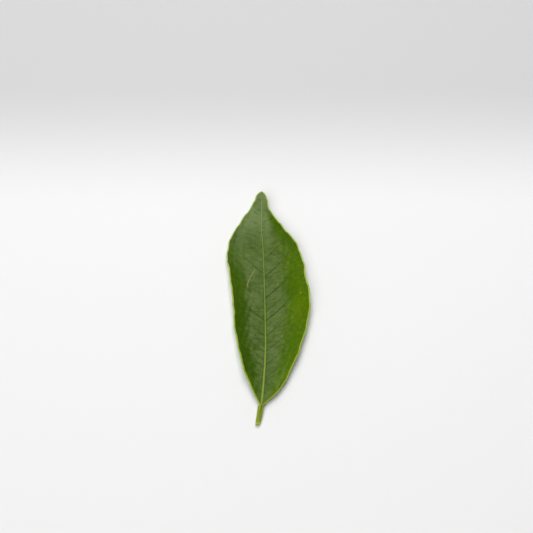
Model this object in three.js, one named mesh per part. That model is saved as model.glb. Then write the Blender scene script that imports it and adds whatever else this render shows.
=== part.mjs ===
// An orange leaf, picked with its petiole and lying on its underside.
// Millimetres, +Z up. +Y runs along the midrib from the petiole to the tip, and +X is to its right.
// The leaf grew as one piece, so it is one closed solid: blade, midrib and winged petiole together.
import * as THREE from "three";

// ---- Driving dimensions ----
const BLADE_LENGTH = 83;
const PETIOLE_LENGTH = 7.6;
const LAMINA_THICKNESS = 0.42;

// Half-widths of the leaf along its length, as [distance from the blade's base, half-width].
// Negative distances are on the petiole, which has a narrow wing on each side.
const LEFT_HALF = [
  [-PETIOLE_LENGTH, 0.78], [-1.7, 1.1], [-1.1, 1.15], [-0.6, 0.8], [3.5, 3.2], [8.3, 5.7], [13, 7.7],
  [20, 9.5], [28, 11], [39, 11.6], [50, 12.7], [58, 13.4], [64, 11.8], [70.5, 8.1], [74.5, 5.4], [80, 2.5],
];
const RIGHT_HALF = [
  [-PETIOLE_LENGTH, 0.78], [-3.4, 1], [-1.2, 0.9], [-0.6, 0.95], [1.4, 3.1], [3.7, 5.2], [6.6, 7.1],
  [10.8, 8.9], [16.6, 11.2], [25, 13.8], [33, 15.7], [40, 16.2], [47, 15.2], [54, 14.5], [62, 12.1],
  [69, 7.5], [74, 4.2], [77, 2.8], [80, 2.1],
];
const ROUND_TIP_LENGTH = 3.4;
const TIP_CLOSING_POWER = 0.75;

// How far the midrib bends sideways, as [distance from the blade's base, offset to the right].
const MIDRIB_BEND = [
  [-PETIOLE_LENGTH, -1.35], [0, 0], [14, 1.1], [25, 1.35], [45, 0.95], [60, 0.45], [68, -0.1],
  [BLADE_LENGTH, -0.1],
];

// How far the midrib's underside stands clear of the surface, as [distance from the blade's base, height].
// The petiole's cut end and the middle of the blade touch down, and the tip lifts.
const MIDRIB_LIFT = [
  [-PETIOLE_LENGTH, 0], [0, 0.8], [9, 1], [24, 0.1], [38, 0], [52, 0.1], [66, 1.3], [75, 2.7],
  [BLADE_LENGTH, 4.4],
];

// Slope of the raised margins, as [distance from the blade's base, rise over run at the margin].
const LEFT_MARGIN_SLOPE = [[0, 0.3], [12, 0.68], [40, 0.6], [60, 0.3], [72, 0.12], [BLADE_LENGTH, 0.1]];
const RIGHT_MARGIN_SLOPE = [
  [0, 0.25], [12, 0.42], [40, 0.62], [60, 0.62], [70, 0.52], [77, 0.2], [BLADE_LENGTH, 0.1],
];
const MARGIN_CURL_POWER = 2.8;

// The margins wave a little along their length. The waves grow over one stretch and die out over another.
const WAVE_HEIGHT = 0.45;
const LEFT_WAVE = { start: 4, length: 31 };
const RIGHT_WAVE = { start: 11, length: 26 };
const WAVE_GROWS = [2, 14];
const WAVE_DIES = [64, 80];

// Each half of the blade sags beside the midrib, so that the leaf rests on both halves.
const SAG_FROM_MIDRIB = 6;
const SAG_RADIUS = 4.5;
const SAG_BELOW_KEEL = 0.15;
const SAG_GROWS = [14, 26];
const SAG_DIES = [44, 60];

// The midrib is a keel below the blade and a low ridge above it. It thins from the petiole to the tip.
const KEEL_DEPTH = 0.62;
const KEEL_RADIUS = 0.75;
const KEEL_TIP_SHARE = 0.45; // what is left of the keel's radius at the tip
const RIDGE_HEIGHT = 0.16;
const RIDGE_RADIUS = 0.525;
const PETIOLE_RIDGE_HEIGHT = 0.3;
const MIDRIB_TAPER_POWER = 0.8;

// The petiole changes into the blade over this stretch.
const BLADE_STARTS = [-1, 2.6];

// The lamina thins towards its margins, mostly over the last fifth of the half-width.
const MARGIN_THINNING = 0.55;
const MARGIN_THINNING_POWER = 6;

// ---- Mesh density ----
const PETIOLE_ROWS = 7;
const BLADE_ROWS = 44;
const COLUMNS_PER_HALF = 9;
const MIDRIB_CROWDING = 1.7;
const END_CROWDING = 0.75;
const GRADIENT_STEP = 0.05;
const SMALLEST_WIDTH = 0.05; // keeps divisions sound at the very tip

const { clamp, lerp, smoothstep } = THREE.MathUtils;

const leafMaterial = new THREE.MeshStandardMaterial({ color: 0x57791c, roughness: 0.45, metalness: 0 });

// Slope of a smooth curve through the knots, at one of them.
function knotSlope(knots, index) {
  const before = knots[Math.max(index - 1, 0)];
  const after = knots[Math.min(index + 1, knots.length - 1)];
  return (after[1] - before[1]) / (after[0] - before[0]);
}

// Value of a smooth curve through [position, value] knots. Beyond its ends it stays level.
function curveThrough(knots, position) {
  const last = knots.length - 1;
  if (position <= knots[0][0]) return knots[0][1];
  if (position >= knots[last][0]) return knots[last][1];
  const index = knots.findIndex((knot) => knot[0] > position) - 1;
  const [start, startValue] = knots[index];
  const [end, endValue] = knots[index + 1];
  const span = end - start;
  const t = (position - start) / span;
  const bulge = (1 - t) * knotSlope(knots, index) - t * knotSlope(knots, index + 1);
  const chordSlope = (endValue - startValue) / span;
  const correction = t * (1 - t) * (bulge + (2 * t - 1) * chordSlope) * span;
  return startValue + (endValue - startValue) * t + correction;
}

// Half-width on one side. The last stretch closes in a round tip.
function halfWidth(knots, along) {
  const past = clamp((along - BLADE_LENGTH) / ROUND_TIP_LENGTH + 1, 0, 1);
  return curveThrough(knots, along) * Math.pow(1 - past * past, TIP_CLOSING_POWER);
}

// 0 on the petiole and 1 on the blade.
function onBlade(along) {
  return smoothstep(along, ...BLADE_STARTS);
}

// How strong the midrib is: 1 at the blade's base, fading to 0 near the tip.
function midribStrength(along) {
  return Math.pow(clamp(1 - along / BLADE_LENGTH, 0, 1), MIDRIB_TAPER_POWER);
}

// Depth of the keel below the lamina, at a distance from the midrib.
function keelDepth(along, fromMidrib) {
  const strength = midribStrength(along);
  const radius = KEEL_RADIUS * lerp(KEEL_TIP_SHARE, 1, strength);
  return KEEL_DEPTH * strength * Math.exp(-Math.pow(fromMidrib / radius, 2));
}

// Height of the low ridge above the lamina, at a distance from the midrib.
function ridgeHeight(along, fromMidrib) {
  const height = lerp(PETIOLE_RIDGE_HEIGHT, RIDGE_HEIGHT, onBlade(along));
  return height * midribStrength(along) * Math.exp(-Math.pow(fromMidrib / RIDGE_RADIUS, 2));
}

function midribHeight(along) {
  return curveThrough(MIDRIB_LIFT, along) + keelDepth(along, 0) + LAMINA_THICKNESS / 2;
}

// Height of the blade's middle surface above the surface it lies on.
function middleHeight(along, fromMidrib) {
  const right = fromMidrib > 0;
  const width = Math.max(halfWidth(right ? RIGHT_HALF : LEFT_HALF, along), SMALLEST_WIDTH);
  const share = Math.abs(fromMidrib) / width;
  const slope = curveThrough(right ? RIGHT_MARGIN_SLOPE : LEFT_MARGIN_SLOPE, along) * onBlade(along);
  const margin = (slope / MARGIN_CURL_POWER) * width * Math.pow(share, MARGIN_CURL_POWER);
  const wave = right ? RIGHT_WAVE : LEFT_WAVE;
  const waveEnds = smoothstep(along, ...WAVE_GROWS) * (1 - smoothstep(along, ...WAVE_DIES));
  const swing = Math.sin((2 * Math.PI * (along - wave.start)) / wave.length);
  const waving = WAVE_HEIGHT * swing * waveEnds * share * share;
  const sagEnds = smoothstep(along, ...SAG_GROWS) * (1 - smoothstep(along, ...SAG_DIES));
  const fromSag = (Math.abs(fromMidrib) - SAG_FROM_MIDRIB) / SAG_RADIUS;
  const sag = (keelDepth(along, 0) + SAG_BELOW_KEEL) * sagEnds * Math.exp(-fromSag * fromSag);
  return midribHeight(along) + margin + waving - sag;
}

// Direction square to the blade's middle surface.
function surfaceNormal(along, fromMidrib) {
  const height = middleHeight(along, fromMidrib);
  const inward = fromMidrib > 0 ? -GRADIENT_STEP : GRADIENT_STEP;
  const acrossSlope = (middleHeight(along, fromMidrib + inward) - height) / inward;
  const ahead = middleHeight(along + GRADIENT_STEP, 0);
  const behind = middleHeight(along - GRADIENT_STEP, 0);
  const alongSlope = (ahead - behind) / (2 * GRADIENT_STEP);
  return new THREE.Vector3(-acrossSlope, -alongSlope, 1).normalize();
}

// One point of the leaf's skin. The side is +1 for the upper face and -1 for the lower one.
function skinPoint(along, share, side) {
  const width = halfWidth(share > 0 ? RIGHT_HALF : LEFT_HALF, along);
  const crowding = lerp(1, MIDRIB_CROWDING, onBlade(along));
  const fromMidrib = Math.sign(share) * width * Math.pow(Math.abs(share), crowding);
  const relief = side > 0 ? ridgeHeight(along, fromMidrib) : keelDepth(along, fromMidrib);
  const thinned = 1 - MARGIN_THINNING * Math.pow(Math.abs(share), MARGIN_THINNING_POWER);
  const middle = new THREE.Vector3(
    curveThrough(MIDRIB_BEND, along) + fromMidrib,
    along,
    middleHeight(along, fromMidrib),
  );
  const outward = (LAMINA_THICKNESS / 2) * thinned + relief;
  return middle.addScaledVector(surfaceNormal(along, fromMidrib), side * outward);
}

// Distances from the blade's base of the rows of points, crowded towards both ends of the blade.
function rowPositions() {
  const rows = [];
  for (let row = 0; row < PETIOLE_ROWS; row += 1) {
    rows.push(-PETIOLE_LENGTH * (1 - row / PETIOLE_ROWS));
  }
  for (let row = 0; row < BLADE_ROWS; row += 1) {
    const share = row / BLADE_ROWS;
    const crowded = (1 - Math.cos(Math.PI * share)) / 2;
    rows.push(BLADE_LENGTH * lerp(share, crowded, END_CROWDING));
  }
  return rows;
}

// One closed ring of skin points: over the upper face from left to right, and back under the lower face.
function ringPoints(along) {
  const upper = [];
  const lower = [];
  for (let column = -COLUMNS_PER_HALF; column <= COLUMNS_PER_HALF; column += 1) {
    const share = column / COLUMNS_PER_HALF;
    upper.push(skinPoint(along, share, 1));
    lower.unshift(skinPoint(along, share, -1));
  }
  return [...upper, ...lower];
}

// A closed skin through the rings, with a flat cut end on the petiole and one point at the tip.
function leafGeometry() {
  const rings = rowPositions().map(ringPoints);
  const ringSize = rings[0].length;
  const cutCentre = new THREE.Vector3();
  for (const point of rings[0]) {
    cutCentre.addScaledVector(point, 1 / ringSize);
  }
  const tipAcross = curveThrough(MIDRIB_BEND, BLADE_LENGTH);
  const tip = new THREE.Vector3(tipAcross, BLADE_LENGTH, midribHeight(BLADE_LENGTH));
  const points = [...rings.flat(), cutCentre, tip];
  const cutIndex = points.length - 2;
  const tipIndex = points.length - 1;
  const lastRing = (rings.length - 1) * ringSize;
  const faces = [];
  for (let corner = 0; corner < ringSize; corner += 1) {
    const next = (corner + 1) % ringSize;
    for (let start = 0; start < lastRing; start += ringSize) {
      const far = start + ringSize;
      faces.push(start + corner, start + next, far + corner);
      faces.push(start + next, far + next, far + corner);
    }
    faces.push(cutIndex, next, corner);
    faces.push(tipIndex, lastRing + corner, lastRing + next);
  }
  const geometry = new THREE.BufferGeometry().setFromPoints(points);
  geometry.setIndex(faces);
  return geometry;
}

// Puts the origin under the middle of the leaf, on the surface it lies on.
function stoodOnOrigin(geometry) {
  geometry.computeBoundingBox();
  const { min, max } = geometry.boundingBox;
  return geometry.translate(-(min.x + max.x) / 2, -(min.y + max.y) / 2, -min.z);
}

const geometry = stoodOnOrigin(leafGeometry());
geometry.computeVertexNormals();
const leaf = new THREE.Mesh(geometry, leafMaterial);
leaf.name = "orange_leaf";

const part = new THREE.Group();
part.add(leaf);

export default part;
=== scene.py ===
"""The looks of an orange leaf, picked with its petiole and lying on its underside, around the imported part."""
import math

import bpy
import numpy as np
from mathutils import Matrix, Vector


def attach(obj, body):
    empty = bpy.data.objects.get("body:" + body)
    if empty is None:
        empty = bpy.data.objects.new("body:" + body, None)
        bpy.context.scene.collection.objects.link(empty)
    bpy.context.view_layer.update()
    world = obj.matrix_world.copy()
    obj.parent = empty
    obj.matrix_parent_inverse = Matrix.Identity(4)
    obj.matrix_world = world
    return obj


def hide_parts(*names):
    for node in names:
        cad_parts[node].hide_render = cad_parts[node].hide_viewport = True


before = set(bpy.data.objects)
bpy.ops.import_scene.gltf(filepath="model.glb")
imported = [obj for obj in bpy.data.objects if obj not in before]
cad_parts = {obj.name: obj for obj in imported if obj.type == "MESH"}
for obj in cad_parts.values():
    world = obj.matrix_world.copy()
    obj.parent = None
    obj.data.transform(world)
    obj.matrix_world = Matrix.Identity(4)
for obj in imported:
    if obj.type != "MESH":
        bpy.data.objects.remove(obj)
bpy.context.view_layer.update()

NODE = "orange_leaf"
MM = 0.001

# ---- The leaf's shape, in millimetres, as in the CAD model ----
# Distances run along the midrib from the blade's base: negative on the petiole, positive on the blade.
BLADE_LENGTH = 83.0
PETIOLE_LENGTH = 7.6
LAMINA_THICKNESS = 0.42
LEFT_HALF = (
    (-PETIOLE_LENGTH, 0.78), (-1.7, 1.1), (-1.1, 1.15), (-0.6, 0.8), (3.5, 3.2), (8.3, 5.7), (13, 7.7),
    (20, 9.5), (28, 11), (39, 11.6), (50, 12.7), (58, 13.4), (64, 11.8), (70.5, 8.1), (74.5, 5.4), (80, 2.5),
)
RIGHT_HALF = (
    (-PETIOLE_LENGTH, 0.78), (-3.4, 1), (-1.2, 0.9), (-0.6, 0.95), (1.4, 3.1), (3.7, 5.2), (6.6, 7.1),
    (10.8, 8.9), (16.6, 11.2), (25, 13.8), (33, 15.7), (40, 16.2), (47, 15.2), (54, 14.5), (62, 12.1),
    (69, 7.5), (74, 4.2), (77, 2.8), (80, 2.1),
)
ROUND_TIP_LENGTH = 3.4
TIP_CLOSING_POWER = 0.75
MIDRIB_BEND = (
    (-PETIOLE_LENGTH, -1.35), (0, 0), (14, 1.1), (25, 1.35), (45, 0.95), (60, 0.45), (68, -0.1),
    (BLADE_LENGTH, -0.1),
)
MIDRIB_LIFT = (
    (-PETIOLE_LENGTH, 0), (0, 0.8), (9, 1), (24, 0.1), (38, 0), (52, 0.1), (66, 1.3), (75, 2.7),
    (BLADE_LENGTH, 4.4),
)
LEFT_MARGIN_SLOPE = ((0, 0.3), (12, 0.68), (40, 0.6), (60, 0.3), (72, 0.12), (BLADE_LENGTH, 0.1))
RIGHT_MARGIN_SLOPE = (
    (0, 0.25), (12, 0.42), (40, 0.62), (60, 0.62), (70, 0.52), (77, 0.2), (BLADE_LENGTH, 0.1),
)
MARGIN_CURL_POWER = 2.8
SMALLEST_WIDTH = 0.05
BLADE_STARTS = (-1.0, 2.6)
MIDRIB_TAPER_POWER = 0.8
WAVE_HEIGHT = 0.45
WAVE_GROWS = (2, 14)
WAVE_DIES = (64, 80)
LEFT_WAVE = (4.0, 31.0)  # start and length
RIGHT_WAVE = (11.0, 26.0)
SAG_FROM_MIDRIB = 6.0
SAG_RADIUS = 4.5
SAG_BELOW_KEEL = 0.15
SAG_GROWS = (14, 26)
SAG_DIES = (44, 60)
KEEL_DEPTH = 0.62
KEEL_RADIUS = 0.75
KEEL_TIP_SHARE = 0.45
RIDGE_HEIGHT = 0.16
PETIOLE_RIDGE_HEIGHT = 0.3

# ---- Fine relief, in millimetres ----
LEFT_TEETH = (0, 7, 12.5, 17, 21.5, 25.5, 29, 33.5, 38, 43, 47, 51.5, 55.5, 59.5, 64.5, 70, 74.8, 79.5, 84)
RIGHT_TEETH = (
    0, 6, 11, 15.5, 20, 24.5, 28.5, 33, 37.5, 44.8, 49.5, 54, 58.5, 62.5, 66.5, 70.5, 76.4, 80.5, 84,
)
TOOTH_DEPTH = 0.25
BASE_TOOTH_SHARE = 0.35
TEETH_DEEPEN = (20, 75)
TEETH_START = (3, 10)
TEETH_END = (79.5, 82)
TOOTH_CREST = 0.8
NOTCH_POWER = 1.5
TOOTH_SIZES = (0.4, 1.15)
TOOTH_SEED = 3
MARGIN_WANDER = 0.1
MARGIN_WANDER_RATE = 0.71
RIGHT_WANDER_PHASE = 1.7
BEAD_RADIUS = 0.24
BEAD_WIDTH = 0.5
BEAD_HEIGHT = 0.04
LEFT_VEINS = (-4, 3.5, 8, 13, 19, 25.5, 31.5, 41, 50.6, 57, 63, 69, 74, 79, 84)
LEFT_VEIN_STRENGTHS = (0, 0.4, 0.5, 0.6, 0.7, 0.5, 0.95, 0.3, 0.9, 0.25, 0.4, 0.25, 0.2, 0.1, 0)
RIGHT_VEINS = (-4, 3, 8.8, 14, 19.5, 25.5, 31.5, 35, 40.5, 49.2, 56.2, 63, 70, 77, 84)
RIGHT_VEIN_STRENGTHS = (0, 0.4, 0.5, 0.6, 0.8, 0.6, 0.9, 0.4, 1, 0.9, 0.7, 0.4, 0.2, 0.1, 0)
VEIN_LEAN = 0.82
VEIN_ARCH = 0.02
VEIN_FADE_START = 0.2  # shares of the half-width
VEIN_FADE_END = 0.5
STRONG_VEIN_REACH = 0.4
VEINS_WEAKEN = (50, 80)
TIP_VEIN_LOSS = 0.7
FEWEST_VEINS = 0.05  # for each millimetre
VEIN_RADIUS = 0.26
UPPER_VEIN_DEPTH = 0.045
LOWER_VEIN_HEIGHT = 0.0585
UPPER_QUILT_HEIGHT = 0.02
LOWER_QUILT_HEIGHT = 0.01
MIDRIB_CLEARANCE = 1.5
RIDGE_RADIUS = 0.45
GROOVE_RADIUS = 1.2
GROOVE_DEPTH = 0.1
RIB_HEIGHT = 0.05
RIB_RATE = 7.5
RIB_WANDER = 0.6
RIB_WANDER_RATE = 0.9
LUMP_HEIGHT = 0.05
LUMP_LENGTHS = (1.8, 9.0)
LUMP_WAVES = 44
LUMP_SEED = 7

# ---- Mesh density ----
PETIOLE_ROWS = 22
BLADE_ROWS = 288
ROW_CROWDING = 0.45
COLUMNS_PER_HALF = 73
MARGIN_CROWDING = 1.25
MIDRIB_CROWDING = 1.3
STEP = 0.05
VEIN_STEP = 1.0


def smooth_step(start, end, value):
    share = np.clip((value - start) / (end - start), 0, 1)
    return share * share * (3 - 2 * share)


def curve_through(knots, position):
    """Values of a smooth curve through (position, value) knots. Beyond its ends it stays level."""
    at, value = np.array(knots, float).T
    before = np.r_[0, np.arange(len(at) - 1)]
    after = np.r_[np.arange(1, len(at)), len(at) - 1]
    slope = (value[after] - value[before]) / (at[after] - at[before])
    position = np.clip(position, at[0], at[-1])
    index = np.clip(np.searchsorted(at, position, side="right") - 1, 0, len(at) - 2)
    span = at[index + 1] - at[index]
    t = (position - at[index]) / span
    chord = (value[index + 1] - value[index]) / span
    bulge = (1 - t) * slope[index] - t * slope[index + 1] + (2 * t - 1) * chord
    return value[index] + (value[index + 1] - value[index]) * t + t * (1 - t) * bulge * span


def sided(across, left, right):
    """Picks the left or the right half's value."""
    return np.where(across > 0, right, left)


def half_width(along, across):
    past = np.clip((along - BLADE_LENGTH) / ROUND_TIP_LENGTH + 1, 0, 1)
    width = sided(across, curve_through(LEFT_HALF, along), curve_through(RIGHT_HALF, along))
    return width * (1 - past * past) ** TIP_CLOSING_POWER


def on_blade(along):
    return smooth_step(*BLADE_STARTS, along)


def midrib_strength(along):
    """1 along the petiole, tapering to 0 at the tip."""
    return np.clip(1 - along / BLADE_LENGTH, 0, 1) ** MIDRIB_TAPER_POWER


def keel_depth(along, across):
    strength = midrib_strength(along)
    radius = KEEL_RADIUS * (KEEL_TIP_SHARE + (1 - KEEL_TIP_SHARE) * strength)
    return KEEL_DEPTH * strength * np.exp(-((across / radius) ** 2))


def margin_wave(along, across, share):
    """The long low waves of the margins."""
    start = sided(across, LEFT_WAVE[0], RIGHT_WAVE[0])
    length = sided(across, LEFT_WAVE[1], RIGHT_WAVE[1])
    ends = smooth_step(*WAVE_GROWS, along) * (1 - smooth_step(*WAVE_DIES, along))
    return WAVE_HEIGHT * np.sin(2 * math.pi * (along - start) / length) * ends * share**2


def sag_depth(along, across):
    """How far each half sags beside the midrib, to just below the keel, so that the blade lies on both."""
    ends = smooth_step(*SAG_GROWS, along) * (1 - smooth_step(*SAG_DIES, along))
    from_sag = (np.abs(across) - SAG_FROM_MIDRIB) / SAG_RADIUS
    return (keel_depth(along, 0) + SAG_BELOW_KEEL) * ends * np.exp(-(from_sag**2))


def middle_height(along, across):
    """Height of the blade's middle surface above the surface that it lies on."""
    width = np.maximum(half_width(along, across), SMALLEST_WIDTH)
    share = np.abs(across) / width
    slope = sided(across, curve_through(LEFT_MARGIN_SLOPE, along), curve_through(RIGHT_MARGIN_SLOPE, along))
    margin = slope * on_blade(along) / MARGIN_CURL_POWER * width * share**MARGIN_CURL_POWER
    midrib = curve_through(MIDRIB_LIFT, along) + keel_depth(along, 0) + LAMINA_THICKNESS / 2
    return midrib + margin + margin_wave(along, across, share) - sag_depth(along, across)


def surface_normal(along, across):
    inward = np.where(across > 0, -STEP, STEP)
    across_slope = (middle_height(along, across + inward) - middle_height(along, across)) / inward
    midrib = np.zeros_like(across)
    along_slope = (middle_height(along + STEP, midrib) - middle_height(along - STEP, midrib)) / 2 / STEP
    normal = np.stack([-across_slope, -along_slope, np.ones_like(along)], axis=-1)
    return normal / np.linalg.norm(normal, axis=-1, keepdims=True)


def lumps(along, across):
    """Small uneven swells all over the blade, as a sum of waves in scattered directions."""
    scatter = np.random.default_rng(LUMP_SEED)
    total = np.zeros_like(along)
    for length in np.geomspace(*LUMP_LENGTHS, LUMP_WAVES):
        direction, phase = scatter.uniform(0, 2 * math.pi, 2)
        way = along * math.cos(direction) + across * math.sin(direction)
        total += np.sin(2 * math.pi * way / length + phase)
    return LUMP_HEIGHT * total / math.sqrt(LUMP_WAVES / 2) * on_blade(along)


def vein_index(along, across):
    """Position counted in lateral veins: a whole number on each vein, and halves midway between two."""
    origin = along - VEIN_LEAN * np.abs(across) - VEIN_ARCH * across**2
    left = np.interp(origin, LEFT_VEINS, np.arange(len(LEFT_VEINS)))
    right = np.interp(origin, RIGHT_VEINS, np.arange(len(RIGHT_VEINS)))
    return sided(across, left, right)


def vein_spacing(along, across):
    """Distance between lateral veins here, square to them."""
    ahead = vein_index(along + VEIN_STEP, across)
    behind = vein_index(along - VEIN_STEP, across)
    veins_per_mm = np.maximum((ahead - behind) / 2 / VEIN_STEP, FEWEST_VEINS)
    lean = VEIN_LEAN + 2 * VEIN_ARCH * np.abs(across)
    return 1 / veins_per_mm / np.sqrt(1 + lean**2)


def vein_offset(along, across):
    """Signed distance from the nearest lateral vein. The sign alternates, so that it is smooth."""
    return np.sin(math.pi * vein_index(along, across)) * vein_spacing(along, across) / math.pi


def minor_offset(along, across):
    """Signed distance from the nearest lateral vein, or from the minor vein midway between two."""
    return np.sin(2 * math.pi * vein_index(along, across)) * vein_spacing(along, across) / 2 / math.pi


def vein_strength(along, across):
    """1 for a strong vein beside the midrib, fading towards the margin and the tip."""
    share = np.abs(across) / np.maximum(half_width(along, across), SMALLEST_WIDTH)
    index = vein_index(along, across)
    veins = np.arange(len(LEFT_VEINS))
    left = np.interp(index, veins, LEFT_VEIN_STRENGTHS)
    right = np.interp(index, veins, RIGHT_VEIN_STRENGTHS)
    own = sided(across, left, right)
    reach = 1 - smooth_step(VEIN_FADE_START, VEIN_FADE_END + STRONG_VEIN_REACH * own, share)
    return own * reach * (1 - TIP_VEIN_LOSS * smooth_step(*VEINS_WEAKEN, along)) * on_blade(along)


def tooth_profile(along, teeth):
    """Swells along each tooth to its crest, and drops at the notch before the next one."""
    index = np.interp(along, teeth, np.arange(len(teeth)))
    share = index % 1
    swell = np.sin(math.pi / 2 * np.clip(share / TOOTH_CREST, 0, 1)) ** 2
    drop = np.clip((share - TOOTH_CREST) / (1 - TOOTH_CREST), 0, 1)
    size = np.random.default_rng(TOOTH_SEED).uniform(*TOOTH_SIZES, len(teeth))
    return swell * (1 - drop) ** NOTCH_POWER * size[np.floor(index).astype(int)]


def toothed_half_width(along, across):
    """Half-width with the margin's shallow round teeth."""
    tooth = sided(across, tooth_profile(along, LEFT_TEETH), tooth_profile(along, RIGHT_TEETH))
    depth = TOOTH_DEPTH * (BASE_TOOTH_SHARE + (1 - BASE_TOOTH_SHARE) * smooth_step(*TEETH_DEEPEN, along))
    fade = smooth_step(*TEETH_START, along) * (1 - smooth_step(*TEETH_END, along))
    wander = MARGIN_WANDER * np.sin(along * MARGIN_WANDER_RATE + sided(across, 0, RIGHT_WANDER_PHASE))
    return half_width(along, across) + (depth * (tooth - 0.5) + wander) * fade


def edge_distance(along, across):
    """Distance to the margin, square to it."""
    ahead = toothed_half_width(along + STEP, across)
    widening = (ahead - toothed_half_width(along - STEP, across)) / 2 / STEP
    return (toothed_half_width(along, across) - np.abs(across)) / np.sqrt(1 + widening**2)


def petiole_ribs(along, across):
    ribs = np.cos(across * RIB_RATE + RIB_WANDER * np.sin(along * RIB_WANDER_RATE))
    return RIB_HEIGHT * ribs * (1 - on_blade(along))


def upper_relief(along, across, vein, quilt, beside):
    """A ridge in a groove on the midrib, and sunken veins."""
    strength = midrib_strength(along)
    blade = on_blade(along)
    ridge_height = RIDGE_HEIGHT + (PETIOLE_RIDGE_HEIGHT - RIDGE_HEIGHT) * (1 - blade)
    ridge = ridge_height * strength * np.exp(-((across / RIDGE_RADIUS) ** 2))
    groove = GROOVE_DEPTH * strength * blade * np.exp(-((across / GROOVE_RADIUS) ** 2))
    sunken = UPPER_VEIN_DEPTH * vein + UPPER_QUILT_HEIGHT * quilt - lumps(along, across)
    return ridge - groove - sunken * beside


def lower_relief(along, across, vein, quilt, beside):
    """The midrib's keel, and raised veins."""
    raised = LOWER_VEIN_HEIGHT * vein + LOWER_QUILT_HEIGHT * quilt - lumps(along, across)
    return keel_depth(along, across) + raised * beside


def relief(along, across, edge, side):
    """How far a face of the leaf stands out from the middle surface, with all its fine relief."""
    strength = vein_strength(along, across)
    vein = np.exp(-((vein_offset(along, across) / VEIN_RADIUS) ** 2)) * strength
    quilt = np.cos(2 * math.pi * vein_index(along, across)) * strength
    beside = 1 - np.exp(-((across / MIDRIB_CLEARANCE) ** 2))
    face = upper_relief if side > 0 else lower_relief
    bead = BEAD_HEIGHT * np.exp(-(((edge - BEAD_RADIUS) / (BEAD_WIDTH / 2)) ** 2)) * on_blade(along)
    height = LAMINA_THICKNESS / 2 + face(along, across, vein, quilt, beside)
    height = height + petiole_ribs(along, across) + bead
    inside = np.clip(edge / BEAD_RADIUS, 0, 1)
    return height * np.sqrt(1 - (1 - inside) ** 2)


def row_positions():
    """Rows of points along the leaf, crowded at both ends of the blade."""
    petiole = -PETIOLE_LENGTH * (1 - np.arange(PETIOLE_ROWS) / PETIOLE_ROWS)
    share = np.arange(BLADE_ROWS) / BLADE_ROWS
    crowded = (1 - np.cos(math.pi * share)) / 2
    return np.r_[petiole, BLADE_LENGTH * ((1 - ROW_CROWDING) * share + ROW_CROWDING * crowded)]


def column_shares():
    """Columns of points from the left margin (-1) to the right one (1), crowded at the midrib and margins."""
    share = np.arange(1, COLUMNS_PER_HALF + 1) / COLUMNS_PER_HALF
    share = (1 - (1 - share) ** MARGIN_CROWDING) ** MIDRIB_CROWDING
    return np.r_[-share[::-1], 0, share]


def skin(side):
    """The points of one face, row by row, and what the material needs to know at each."""
    along, share = np.meshgrid(row_positions(), column_shares(), indexing="ij")
    width = toothed_half_width(along, share)
    across = share * width
    edge = edge_distance(along, across)
    sideways = curve_through(MIDRIB_BEND, along) + across
    middle = np.stack([sideways, along, middle_height(along, across)], axis=-1)
    point = middle + surface_normal(along, across) * (side * relief(along, across, edge, side))[..., None]
    facts = {
        "along": along,
        "across": across,
        "edge": edge,
        "side": np.full_like(along, side),
        "vein_offset": vein_offset(along, across),
        "vein_strength": vein_strength(along, across),
        "minor_offset": minor_offset(along, across),
        "midrib_strength": midrib_strength(along),
        "share": share,
    }
    return point, facts


def leaf_mesh():
    """A closed skin: the upper face, the lower face joined to it at both margins, a cut end and the tip."""
    upper, upper_facts = skin(1)
    lower, lower_facts = skin(-1)
    rows, columns = upper.shape[:2]
    ring = 2 * columns - 2

    def joined(over, under):
        return np.concatenate([over, under[:, -2:0:-1]], axis=1)

    points = joined(upper, lower).reshape(-1, 3)
    facts = {name: joined(upper_facts[name], lower_facts[name]).reshape(-1) for name in upper_facts}
    cut = points[:ring].mean(axis=0)
    tip = np.array([MIDRIB_BEND[-1][1], BLADE_LENGTH, middle_height(np.array(BLADE_LENGTH), np.array(0.0))])
    points = np.vstack([points, cut, tip])
    for name, values in facts.items():
        end_value = {"along": BLADE_LENGTH, "side": 1.0}.get(name, 0.0)
        cut_value = {"along": -PETIOLE_LENGTH - 1.0}.get(name, 0.0)
        facts[name] = np.r_[values, cut_value, end_value]
    corner = np.arange(ring)
    beside = (corner + 1) % ring
    start = (np.arange(rows - 1) * ring)[:, None]
    quads = np.stack([start + corner, start + ring + corner, start + ring + beside, start + beside], axis=-1)
    last = (rows - 1) * ring
    caps = [(rows * ring, int(a), int(b)) for a, b in zip(corner, beside)]
    caps += [(rows * ring + 1, int(last + b), int(last + a)) for a, b in zip(corner, beside)]
    faces = quads.reshape(-1, 4)[:, ::-1].tolist() + [face[::-1] for face in caps]
    return points, faces, facts


def stood_on_origin(points):
    """Puts the origin under the middle of the leaf, on the surface it lies on, in metres."""
    low, high = points.min(axis=0), points.max(axis=0)
    return (points - [(low[0] + high[0]) / 2, (low[1] + high[1]) / 2, low[2]]) * MM


def make_leaf():
    points, faces, facts = leaf_mesh()
    mesh = bpy.data.meshes.new("leaf_skin")
    mesh.from_pydata(stood_on_origin(points).tolist(), [], faces)
    mesh.validate()
    for name, values in facts.items():
        layer = mesh.attributes.new(name, "FLOAT", "POINT")
        layer.data.foreach_set("value", values.astype(np.float32))
    mesh.shade_smooth()
    leaf = bpy.data.objects.new("leaf_skin", mesh)
    bpy.context.collection.objects.link(leaf)
    return leaf


leaf = make_leaf()
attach(leaf, "root")
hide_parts(NODE)


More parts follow.
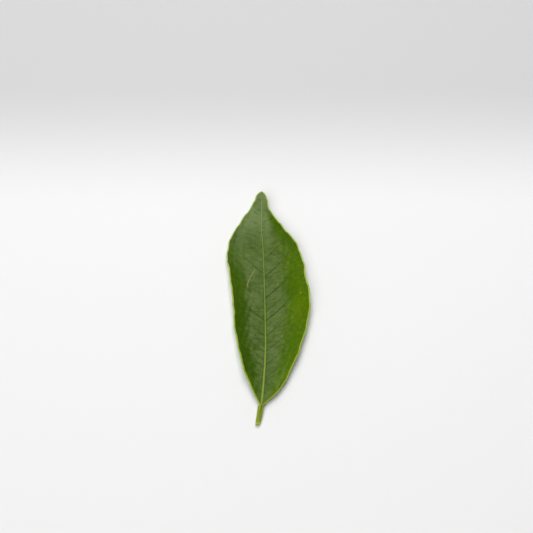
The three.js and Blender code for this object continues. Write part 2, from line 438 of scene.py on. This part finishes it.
# ---- Material: places and widths in millimetres on the leaf, cells for each metre, linear colours ----
BLADE_BASE = (-1.0, 0.2)
RIM_STARTS = (-1.0, -0.2)
CUT_FACE = (-PETIOLE_LENGTH - 0.4, -PETIOLE_LENGTH - 0.02)
PALE_STALK_END = (-PETIOLE_LENGTH + 0.1, -PETIOLE_LENGTH + 1.3, 0.8, 0.0)
TIP_ZONE = (60.0, 74.0)
APEX_ZONE = (73.0, 78.0)
LOWER_TO_UPPER = (-0.2, 0.2)

# a _LINE is full up to its first number and gone at its second
MIDRIB_TIP_WIDTH = 0.12
MIDRIB_WIDENING = 0.25
MIDRIB_LINE = (0.75, 1.2)  # in midrib half-widths, as the painted groove shade's are
MIDRIB_APPEARS = (0.0, 0.1)
# painted shade: a darker line on each side of the midrib, where its groove lies in shade
GROOVE_SHADE_STARTS = (1.1, 1.5)
GROOVE_SHADE_LINE = (1.7, 3.0)
VEIN_LINE = (0.03, 0.25)
MINOR_LINE = (0.02, 0.16)
RIM_LINE = (0.22, 0.52)
LOWER_RIM_STRENGTH = 0.45
UPPER_RIM_STRENGTH = 0.95

# patterns
BEND_CELLS = 420.0
BEND_REACH = 0.0009
COARSE_NET_CELLS = 640.0
COARSE_NET_LINE = (0.0, 0.08)
FINE_NET_CELLS = 1500.0
FINE_NET_LINE = (0.0, 0.13)
GLAND_CELLS = 2100.0
GLAND_SPOT = (0.12, 0.3)
MOTTLE_CELLS = 190.0
PATCH_CELLS = 60.0
GRAIN_CELLS = 700.0
STREAK_STRETCH = 0.35
STREAK_LEAN = 0.3
STREAKS_PER_MM = 0.95
STREAKS_WEAKEN = (0.4, 0.75, 1.0, 0.3)
DARK_STREAKS = (0.5, 0.66)
LIGHT_STREAKS = (0.34, 0.5)
FIBRE_STRETCH = (2.6, 0.22)

# the edges of the wax-like tint and painted sheen are shares of the half-width, negative on the left
WAX_AND_SHEEN_UNEVENNESS = 0.5
LEFT_WAX_AND_SHEEN_EDGE = (-0.75, -0.4)
RIGHT_WAX_AND_SHEEN_EDGE = (0.3, 0.6)
TIP_WAX_AND_SHEEN_EDGE = (0.1, 0.45)
LEFT_WAX_AND_SHEEN_NARROW_BASE = (8.0, 28.0, -0.35, 0.0)
LEFT_WAX_AND_SHEEN_WIDE_TIP = (54.0, 68.0, 0.0, 0.5)
WAX_AND_SHEEN_AMOUNT = (0.35, 0.65, 0.12, 0.5)
MORE_WAX_AND_SHEEN_AT_TIP = 0.45
# painted sheen: the two colours below are a greyer wax-like tint, partly the leaf's own bloom and partly a
# painted reflection of the light above and behind the leaf
WAX_AND_SHEEN = (0.1, 0.155, 0.054, 1)
TIP_WAX_AND_SHEEN = (0.14, 0.2, 0.072, 1)

MOTTLED_GREENS = ((0.033, 0.081, 0.0012, 1), (0.053, 0.115, 0.0018, 1))
MOTTLE_RANGE = (0.35, 0.66)
# partly painted light: the yellower green below lies on the right half, partly the leaf's own colour and partly
# the brightness of the side that faces the lamp
YELLOW_AND_LIT_GREEN = (0.088, 0.176, 0.0006, 1)
YELLOW_AND_LIT_STRENGTH = 0.85
YELLOW_AND_LIT_ACROSS = (0.1, 1.0)
YELLOW_AND_LIT_ALONG = (45.0, 68.0, 1.0, 0.4)
BRIGHT_PATCH = ((37.0, 12.0), (8.0, 5.0))  # middle and radii, along and across
BRIGHT_GREEN = (0.125, 0.205, 0.0008, 1)
BRIGHT_AMOUNT = (0.3, 0.7, 0.15, 0.75)
PATCH_GREEN = (0.085, 0.15, 0.003, 1)
PATCH_STRENGTH = 0.35
PATCH_RANGE = (0.45, 0.7)
GRAIN_GREEN = (0.02, 0.055, 0.002, 1)
GRAIN_STRENGTH = 0.3
GRAIN_RANGE = (0.35, 0.65)
UPPER_TINTS = (
    ("light_streaks", 0.3, (0.095, 0.175, 0.008, 1)),
    ("dark_streaks", 0.38, (0.018, 0.05, 0.003, 1)),
    ("vein", 0.85, (0.01, 0.036, 0.002, 1)),
    ("minor", 0.3, (0.02, 0.05, 0.004, 1)),
    ("coarse_net", 0.18, (0.02, 0.052, 0.005, 1)),
    ("fine_net", 0.12, (0.1, 0.17, 0.004, 1)),
    ("glands", 0.2, (0.11, 0.19, 0.004, 1)),
    # painted shade beside the midrib
    ("groove_shade", 0.35, (0.018, 0.05, 0.002, 1)),
)
MIDRIB_GREENS = ((0.135, 0.215, 0.02, 1), (0.205, 0.288, 0.034, 1))  # from the middle to the base
MIDRIB_RANGE = (0.6, 1.0)
MIDRIB_TIP_GREEN = (0.17, 0.27, 0.06, 1)

PALE_GREENS = ((0.17, 0.26, 0.055, 1), (0.23, 0.33, 0.075, 1))
PALE_RANGE = (0.3, 0.7)
LOWER_TINTS = (
    ("coarse_net", 0.45, (0.1, 0.175, 0.03, 1)),
    ("glands", 0.35, (0.1, 0.18, 0.03, 1)),
    ("vein", 0.7, (0.32, 0.42, 0.12, 1)),
    ("minor", 0.4, (0.3, 0.4, 0.11, 1)),
    ("midrib", 1.0, (0.34, 0.42, 0.12, 1)),
)

STALK_GREENS = ((0.27, 0.32, 0.028, 1), (0.12, 0.185, 0.01, 1))
FIBRE_RANGE = (0.4, 0.62)
STALK_END_GREEN = (0.42, 0.44, 0.06, 1)
CUT_GREEN = (0.42, 0.45, 0.16, 1)
RIM_GREENS = ((0.29, 0.38, 0.03, 1), (0.4, 0.5, 0.11, 1))
RIM_RANGE = (5.0, 65.0)

SCRATCH_START = (44.0, -6.3)
SCRATCH_END = (52.3, -2.95)
SCRATCH_LINE = (0.04, 0.2)
SCRATCH_FADES_IN = (0.0, 0.3)
SCRATCH_FADES_OUT = (0.92, 1.0)
SCRATCH_STRENGTH = 0.75
SCRATCH_BROWN = (0.38, 0.26, 0.13, 1)
SPOT_FADE = (0.3, 1.0)
SPOTS = (  # middle along and across, radius, colour
    ((41.7, 13.0), 0.32, (0.55, 0.28, 0.04, 1)),
    ((52.8, 8.2), 0.24, (0.2, 0.3, 0.06, 1)),
    ((25.7, 5.8), 0.24, (0.3, 0.36, 0.2, 1)),
    ((56.9, 9.8), 0.2, (0.17, 0.25, 0.01, 1)),
)

FINE_RELIEF = (
    ("vein", -0.6),
    ("minor", -0.3),
    ("coarse_net", -0.2),
    ("fine_net", -0.12),
    ("grain", 0.5),
    ("glands", -0.12),
    ("dark_streaks", -0.7),
)
BUMP_STRENGTH = 0.8
BUMP_DISTANCE = 0.00009
LOWER_ROUGHNESS = 0.62
UPPER_ROUGHNESS = 0.25
UNEVEN_ROUGHNESS = 0.08


class Nodes:
    """Short ways to add shader nodes."""

    def __init__(self, material):
        material.use_nodes = True
        self.tree = material.node_tree
        self.tree.nodes.clear()

    def add(self, kind, **settings):
        node = self.tree.nodes.new(kind)
        for name, value in settings.items():
            setattr(node, name, value)
        return node

    def feed(self, socket, value):
        if isinstance(value, bpy.types.NodeSocket):
            self.tree.links.new(value, socket)
        else:
            socket.default_value = value

    def math(self, operation, first, second=0.0):
        node = self.add("ShaderNodeMath", operation=operation)
        self.feed(node.inputs[0], first)
        self.feed(node.inputs[1], second)
        return node.outputs[0]

    def plus(self, first, second):
        return self.math("ADD", first, second)

    def minus(self, first, second):
        return self.math("SUBTRACT", first, second)

    def times(self, first, second):
        return self.math("MULTIPLY", first, second)

    def step(self, value, start, end, low=0.0, high=1.0):
        node = self.add("ShaderNodeMapRange", interpolation_type="SMOOTHSTEP")
        for socket, given in zip(node.inputs[:5], (value, start, end, low, high)):
            self.feed(socket, given)
        return node.outputs[0]

    def fade(self, value, full, gone):
        return self.step(value, full, gone, 1.0, 0.0)

    def mix(self, share, first, second):
        node = self.add("ShaderNodeMix", data_type="RGBA")
        self.feed(node.inputs[0], share)
        self.feed(node.inputs[6], first)
        self.feed(node.inputs[7], second)
        return node.outputs[2]

    def tinted(self, colour, mask, strength, tint):
        return self.mix(self.times(mask, strength), colour, tint)

    def fact(self, name):
        return self.add("ShaderNodeAttribute", attribute_name=name).outputs["Fac"]

    def point(self, x, y):
        node = self.add("ShaderNodeCombineXYZ")
        self.feed(node.inputs[0], x)
        self.feed(node.inputs[1], y)
        return node.outputs[0]

    def noise(self, vector, scale, detail=3.0, roughness=0.55):
        node = self.add("ShaderNodeTexNoise")
        self.feed(node.inputs["Vector"], vector)
        for name, value in (("Scale", scale), ("Detail", detail), ("Roughness", roughness)):
            self.feed(node.inputs[name], value)
        return node.outputs["Fac"]

    def bent(self, vector, scale, reach):
        """The same places, pushed about a little, so that a pattern on them is uneven."""
        noise = self.add("ShaderNodeTexNoise")
        self.feed(noise.inputs["Vector"], vector)
        noise.inputs["Scale"].default_value = scale
        push = self.add("ShaderNodeVectorMath", operation="MULTIPLY_ADD")
        self.feed(push.inputs[0], noise.outputs["Color"])
        push.inputs[1].default_value = (reach,) * 3
        self.feed(push.inputs[2], vector)
        return push.outputs[0]

    def voronoi(self, vector, scale, feature):
        node = self.add("ShaderNodeTexVoronoi", feature=feature)
        self.feed(node.inputs["Vector"], vector)
        self.feed(node.inputs["Scale"], scale)
        return node.outputs["Distance"]


def leaf_places(nodes):
    """Where a point is on the leaf: the first facts that its colours and relief go by."""
    place = nodes.add("ShaderNodeTexCoord").outputs["Object"]
    along = nodes.fact("along")
    across = nodes.fact("across")
    return {
        "place": place,
        "bent_place": nodes.bent(place, BEND_CELLS, BEND_REACH),
        "along": along,
        "across": across,
        "off_midrib": nodes.math("ABSOLUTE", across),
        "share": nodes.fact("share"),
        "strength": nodes.fact("midrib_strength"),
        "upper": nodes.step(nodes.fact("side"), *LOWER_TO_UPPER),
        "petiole": nodes.fade(along, *BLADE_BASE),
        "tip": nodes.step(along, *TIP_ZONE),
    }


def add_midrib(nodes, facts):
    """The midrib's pale line, and painted shade on each side of it: a darker line along the groove."""
    widening = nodes.times(nodes.math("POWER", facts["strength"], 2.0), MIDRIB_WIDENING)
    away = nodes.math("DIVIDE", facts["off_midrib"], nodes.plus(widening, MIDRIB_TIP_WIDTH))
    appears = nodes.step(facts["strength"], *MIDRIB_APPEARS)
    facts["midrib"] = nodes.times(nodes.fade(away, *MIDRIB_LINE), appears)
    facts["groove_shade"] = nodes.times(nodes.step(away, *GROOVE_SHADE_STARTS), nodes.fade(away, *GROOVE_SHADE_LINE))


def add_veins(nodes, facts):
    """Lateral veins, minor ones midway between them, a coarse and a fine net, and oil glands."""
    strength = nodes.fact("vein_strength")
    off_vein = nodes.math("ABSOLUTE", nodes.fact("vein_offset"))
    off_minor = nodes.math("ABSOLUTE", nodes.fact("minor_offset"))
    blade = nodes.minus(1.0, facts["petiole"])
    facts["vein"] = nodes.times(nodes.fade(off_vein, *VEIN_LINE), strength)
    facts["minor"] = nodes.times(nodes.fade(off_minor, *MINOR_LINE), nodes.math("SQRT", strength))
    coarse = nodes.voronoi(facts["bent_place"], COARSE_NET_CELLS, "DISTANCE_TO_EDGE")
    facts["coarse_net"] = nodes.times(nodes.fade(coarse, *COARSE_NET_LINE), blade)
    fine = nodes.voronoi(facts["bent_place"], FINE_NET_CELLS, "DISTANCE_TO_EDGE")
    facts["fine_net"] = nodes.times(nodes.fade(fine, *FINE_NET_LINE), blade)
    facts["glands"] = nodes.fade(nodes.voronoi(facts["place"], GLAND_CELLS, "F1"), *GLAND_SPOT)


def add_patterns(nodes, facts):
    """Uneven colour at three scales, and streaks that run out from the midrib across the blade."""
    facts["mottle"] = nodes.noise(facts["place"], MOTTLE_CELLS, 5.0, 0.6)
    facts["patches"] = nodes.noise(facts["place"], PATCH_CELLS, 2.0)
    facts["grain"] = nodes.noise(facts["bent_place"], GRAIN_CELLS)
    leaning = nodes.minus(facts["along"], nodes.times(facts["off_midrib"], STREAK_LEAN))
    streak_place = nodes.point(nodes.times(facts["across"], STREAK_STRETCH), leaning)
    streaks = nodes.noise(streak_place, STREAKS_PER_MM, 3.0, 0.6)
    weaker = nodes.step(nodes.math("ABSOLUTE", facts["share"]), *STREAKS_WEAKEN)
    facts["dark_streaks"] = nodes.times(nodes.step(streaks, *DARK_STREAKS), weaker)
    facts["light_streaks"] = nodes.times(nodes.fade(streaks, *LIGHT_STREAKS), weaker)


def wax_and_sheen_mask(nodes, facts):
    """1 where the upper face has its wax-like tint and painted sheen: its middle, from margin to margin only at
    the apex.
    """
    uneven = nodes.plus(facts["share"], nodes.times(nodes.minus(facts["patches"], 0.5), WAX_AND_SHEEN_UNEVENNESS))
    left = nodes.plus(uneven, nodes.step(facts["along"], *LEFT_WAX_AND_SHEEN_WIDE_TIP))
    left = nodes.plus(left, nodes.step(facts["along"], *LEFT_WAX_AND_SHEEN_NARROW_BASE))
    middle = nodes.times(nodes.step(left, *LEFT_WAX_AND_SHEEN_EDGE), nodes.fade(uneven, *RIGHT_WAX_AND_SHEEN_EDGE))
    near_tip = nodes.times(facts["tip"], nodes.fade(uneven, *TIP_WAX_AND_SHEEN_EDGE))
    apex = nodes.step(facts["along"], *APEX_ZONE)
    return nodes.math("MAXIMUM", middle, nodes.math("MAXIMUM", near_tip, apex))


def near_spot(nodes, facts, middle, radii):
    """1 in the middle of an oval spot, fading to 0 at its edge."""
    off_along = nodes.math("DIVIDE", nodes.minus(facts["along"], middle[0]), radii[0])
    off_across = nodes.math("DIVIDE", nodes.minus(facts["across"], middle[1]), radii[1])
    squared = nodes.plus(nodes.math("POWER", off_along, 2.0), nodes.math("POWER", off_across, 2.0))
    return nodes.fade(nodes.math("SQRT", squared), *SPOT_FADE)


def blemished(nodes, colour, facts):
    """The upper face's small marks: a thin healed scratch and a few specks."""
    length = SCRATCH_END[0] - SCRATCH_START[0]
    way = nodes.math("DIVIDE", nodes.minus(facts["along"], SCRATCH_START[0]), length)
    bow = nodes.math("POWER", nodes.math("MAXIMUM", way, 0.0), 2.0)
    line = nodes.plus(nodes.times(bow, SCRATCH_END[1] - SCRATCH_START[1]), SCRATCH_START[1])
    off_line = nodes.math("ABSOLUTE", nodes.minus(facts["across"], line))
    ends = nodes.times(nodes.step(way, *SCRATCH_FADES_IN), nodes.fade(way, *SCRATCH_FADES_OUT))
    scratch = nodes.times(nodes.fade(off_line, *SCRATCH_LINE), ends)
    colour = nodes.tinted(colour, scratch, SCRATCH_STRENGTH, SCRATCH_BROWN)
    for middle, radius, tint in SPOTS:
        colour = nodes.mix(near_spot(nodes, facts, middle, (radius, radius)), colour, tint)
    return colour


def upper_colour(nodes, facts):
    """Green, yellower to the right (partly its own colour, partly painted light where that side faces the
    lamp), greyer where the wax-like tint and painted sheen lie, with dark veins and a pale midrib with painted
    shade beside it.
    """
    green = nodes.mix(nodes.step(facts["mottle"], *MOTTLE_RANGE), *MOTTLED_GREENS)
    # partly painted light: the yellower green on the right half is partly the leaf's own colour and partly the
    # brightness of the side that faces the lamp
    yellower_and_lit = nodes.step(facts["share"], *YELLOW_AND_LIT_ACROSS)
    yellower_and_lit = nodes.times(yellower_and_lit, nodes.step(facts["along"], *YELLOW_AND_LIT_ALONG))
    green = nodes.tinted(green, yellower_and_lit, YELLOW_AND_LIT_STRENGTH, YELLOW_AND_LIT_GREEN)
    bright = nodes.times(nodes.step(facts["patches"], *BRIGHT_AMOUNT), near_spot(nodes, facts, *BRIGHT_PATCH))
    green = nodes.mix(bright, green, BRIGHT_GREEN)
    green = nodes.tinted(green, nodes.step(facts["patches"], *PATCH_RANGE), PATCH_STRENGTH, PATCH_GREEN)
    green = nodes.tinted(green, nodes.step(facts["grain"], *GRAIN_RANGE), GRAIN_STRENGTH, GRAIN_GREEN)
    # painted sheen: the wax-like tint, stronger at the tip, also stands in for a reflection of the light
    amount = nodes.plus(nodes.step(facts["mottle"], *WAX_AND_SHEEN_AMOUNT), nodes.times(facts["tip"], MORE_WAX_AND_SHEEN_AT_TIP))
    wax_and_sheen = nodes.mix(facts["tip"], WAX_AND_SHEEN, TIP_WAX_AND_SHEEN)
    green = nodes.mix(nodes.times(wax_and_sheen_mask(nodes, facts), amount), green, wax_and_sheen)
    for name, strength, tint in UPPER_TINTS:
        green = nodes.tinted(green, facts[name], strength, tint)
    midrib = nodes.mix(nodes.step(facts["strength"], *MIDRIB_RANGE), *MIDRIB_GREENS)
    midrib = nodes.mix(facts["tip"], midrib, MIDRIB_TIP_GREEN)
    return blemished(nodes, nodes.mix(facts["midrib"], green, midrib), facts)


def lower_colour(nodes, facts):
    """Paler than the upper face, with veins paler still."""
    pale = nodes.mix(nodes.step(facts["mottle"], *PALE_RANGE), *PALE_GREENS)
    for name, strength, tint in LOWER_TINTS:
        pale = nodes.tinted(pale, facts[name], strength, tint)
    return pale


def petiole_colour(nodes, facts):
    """Yellow-green fibres that run along the petiole, paler near its cut end."""
    fibre_place = nodes.point(
        nodes.times(facts["across"], FIBRE_STRETCH[0]), nodes.times(facts["along"], FIBRE_STRETCH[1])
    )
    fibres = nodes.noise(fibre_place, 1.0)
    stalk = nodes.mix(nodes.step(fibres, *FIBRE_RANGE), *STALK_GREENS)
    return nodes.mix(nodes.step(facts["along"], *PALE_STALK_END), stalk, STALK_END_GREEN)


def edged(nodes, colour, facts):
    """The pale line of the margin, and the petiole's cut face."""
    line = nodes.times(nodes.fade(nodes.fact("edge"), *RIM_LINE), nodes.step(facts["along"], *RIM_STARTS))
    strength = nodes.step(facts["upper"], 0.0, 1.0, LOWER_RIM_STRENGTH, UPPER_RIM_STRENGTH)
    rim_green = nodes.mix(nodes.step(facts["along"], *RIM_RANGE), *RIM_GREENS)
    colour = nodes.mix(nodes.times(line, strength), colour, rim_green)
    return nodes.mix(nodes.fade(facts["along"], *CUT_FACE), colour, CUT_GREEN)


def fine_bump(nodes, facts):
    """Relief finer than the mesh."""
    height = 0.0
    for name, amount in FINE_RELIEF:
        height = nodes.plus(height, nodes.times(facts[name], amount))
    bump = nodes.add("ShaderNodeBump")
    nodes.feed(bump.inputs["Strength"], BUMP_STRENGTH)
    nodes.feed(bump.inputs["Distance"], BUMP_DISTANCE)
    nodes.feed(bump.inputs["Height"], height)
    return bump.outputs[0]


def leaf_material():
    material = bpy.data.materials.new("fresh_leaf")
    nodes = Nodes(material)
    facts = leaf_places(nodes)
    add_midrib(nodes, facts)
    add_veins(nodes, facts)
    add_patterns(nodes, facts)
    faces = nodes.mix(facts["upper"], lower_colour(nodes, facts), upper_colour(nodes, facts))
    colour = nodes.mix(facts["petiole"], faces, petiole_colour(nodes, facts))
    rough = nodes.step(facts["upper"], 0.0, 1.0, LOWER_ROUGHNESS, UPPER_ROUGHNESS)
    rough = nodes.plus(rough, nodes.times(facts["mottle"], UNEVEN_ROUGHNESS))
    shader = nodes.add("ShaderNodeBsdfPrincipled")
    nodes.feed(shader.inputs["Base Color"], edged(nodes, colour, facts))
    nodes.feed(shader.inputs["Roughness"], rough)
    nodes.feed(shader.inputs["Normal"], fine_bump(nodes, facts))
    shader.inputs["IOR"].default_value = 1.45
    shader.inputs["Specular IOR Level"].default_value = 0.18
    shader.inputs["Specular Tint"].default_value = (1, 0.94, 0.6, 1)
    output = nodes.add("ShaderNodeOutputMaterial")
    nodes.feed(output.inputs["Surface"], shader.outputs[0])
    return material


leaf.data.materials.append(leaf_material())


# ---- Floor, backdrop, light and camera, in metres ----
FLOOR_RADIUS = 0.9
FLOOR_RINGS = (0.02, 0.1, 0.25, 0.5, 0.75, 1.0)
COVE_RADIUS = 0.35
WALL_HEIGHT = 0.5
COVE_STEPS = 12
SWEEP_SIDES = 96
NEAR_TONE = (0.84, 0.84, 0.84, 1)
# painted shade: the floor is painted a darker tone behind the leaf, out to a radius, standing in for light
# falling off
PAINTED_SHADE_TONE = (0.605, 0.605, 0.605, 1)
PAINTED_SHADE_STEP = (0.038, 0.1)
PAINTED_SHADE_REACH = (0.25, 0.8)
LIGHTS = (  # name, direction, distance, size, power
    ("back_panel", (0, 0.4, 0.92), 0.75, (0.5, 0.75), 5.0),
    ("front_key", (-0.35, -0.45, 0.82), 1.6, (1.3, 1.3), 12.5),
)
WORLD_STRENGTH = 0.05
CAMERA_ELEVATION = math.radians(62)
CAMERA_DISTANCE = 0.4576
CAMERA_AIM = Vector((-0.00055, 0.01617, 0))
LENS = 85
CLIP_START = 0.01


def sweep_mesh():
    """A flat round floor that curves up into a low wall all round, as one smooth sheet."""
    profile = [(FLOOR_RADIUS * share, 0.0) for share in FLOOR_RINGS]
    for step in range(1, COVE_STEPS + 1):
        angle = math.pi / 2 * step / COVE_STEPS
        profile.append((FLOOR_RADIUS + COVE_RADIUS * math.sin(angle), COVE_RADIUS * (1 - math.cos(angle))))
    profile.append((FLOOR_RADIUS + COVE_RADIUS, WALL_HEIGHT))
    points = [(0.0, 0.0, 0.0)]
    faces = []
    for radius, height in profile:
        for turn in range(SWEEP_SIDES):
            angle = 2 * math.pi * turn / SWEEP_SIDES
            points.append((radius * math.cos(angle), radius * math.sin(angle), height))
    for turn in range(SWEEP_SIDES):
        beside = (turn + 1) % SWEEP_SIDES
        faces.append((0, 1 + turn, 1 + beside))
        for ring in range(len(profile) - 1):
            inner = 1 + ring * SWEEP_SIDES
            outer = inner + SWEEP_SIDES
            faces.append((inner + turn, outer + turn, outer + beside, inner + beside))
    mesh = bpy.data.meshes.new("sweep")
    mesh.from_pydata(points, [], faces)
    mesh.shade_smooth()
    return mesh


def sweep_material():
    """White, with painted shade: a tone darker behind the leaf, and white again far from it."""
    material = bpy.data.materials.new("white_sweep")
    nodes = Nodes(material)
    place = nodes.add("ShaderNodeTexCoord").outputs["Object"]
    parts = nodes.add("ShaderNodeSeparateXYZ")
    nodes.feed(parts.inputs[0], place)
    reach = nodes.add("ShaderNodeVectorMath", operation="LENGTH")
    nodes.feed(reach.inputs[0], place)
    near = nodes.fade(reach.outputs["Value"], *PAINTED_SHADE_REACH)
    # painted shade behind the leaf
    behind = nodes.times(nodes.step(parts.outputs[1], *PAINTED_SHADE_STEP), near)
    shader = nodes.add("ShaderNodeBsdfPrincipled")
    nodes.feed(shader.inputs["Base Color"], nodes.mix(behind, NEAR_TONE, PAINTED_SHADE_TONE))
    shader.inputs["Roughness"].default_value = 0.9
    shader.inputs["Specular IOR Level"].default_value = 0.1
    output = nodes.add("ShaderNodeOutputMaterial")
    nodes.feed(output.inputs["Surface"], shader.outputs[0])
    return material


def make_sweep():
    mesh = sweep_mesh()
    mesh.materials.append(sweep_material())
    sweep = bpy.data.objects.new("sweep", mesh)
    bpy.context.collection.objects.link(sweep)


def make_light(name, direction, distance, size, power):
    data = bpy.data.lights.new(name, "AREA")
    data.shape = "RECTANGLE"
    data.size, data.size_y = size
    data.energy = power
    light = bpy.data.objects.new(name, data)
    bpy.context.collection.objects.link(light)
    towards = Vector(direction).normalized()
    light.location = towards * distance
    light.rotation_euler = towards.to_track_quat("Z", "Y").to_euler()


def make_world():
    world = bpy.data.worlds.new("studio")
    world.use_nodes = True
    background = world.node_tree.nodes["Background"]
    background.inputs["Color"].default_value = (1, 1, 1, 1)
    background.inputs["Strength"].default_value = WORLD_STRENGTH
    bpy.context.scene.world = world


def make_camera():
    data = bpy.data.cameras.new("camera")
    data.lens = LENS
    data.clip_start = CLIP_START
    camera = bpy.data.objects.new("camera", data)
    bpy.context.collection.objects.link(camera)
    back = Vector((0, -math.cos(CAMERA_ELEVATION), math.sin(CAMERA_ELEVATION)))
    camera.location = CAMERA_AIM + back * CAMERA_DISTANCE
    camera.rotation_euler = (math.pi / 2 - CAMERA_ELEVATION, 0, 0)
    bpy.context.scene.camera = camera


make_sweep()
for light_facts in LIGHTS:
    make_light(*light_facts)
make_world()
make_camera()
bpy.context.scene.view_settings.view_transform = "Standard"
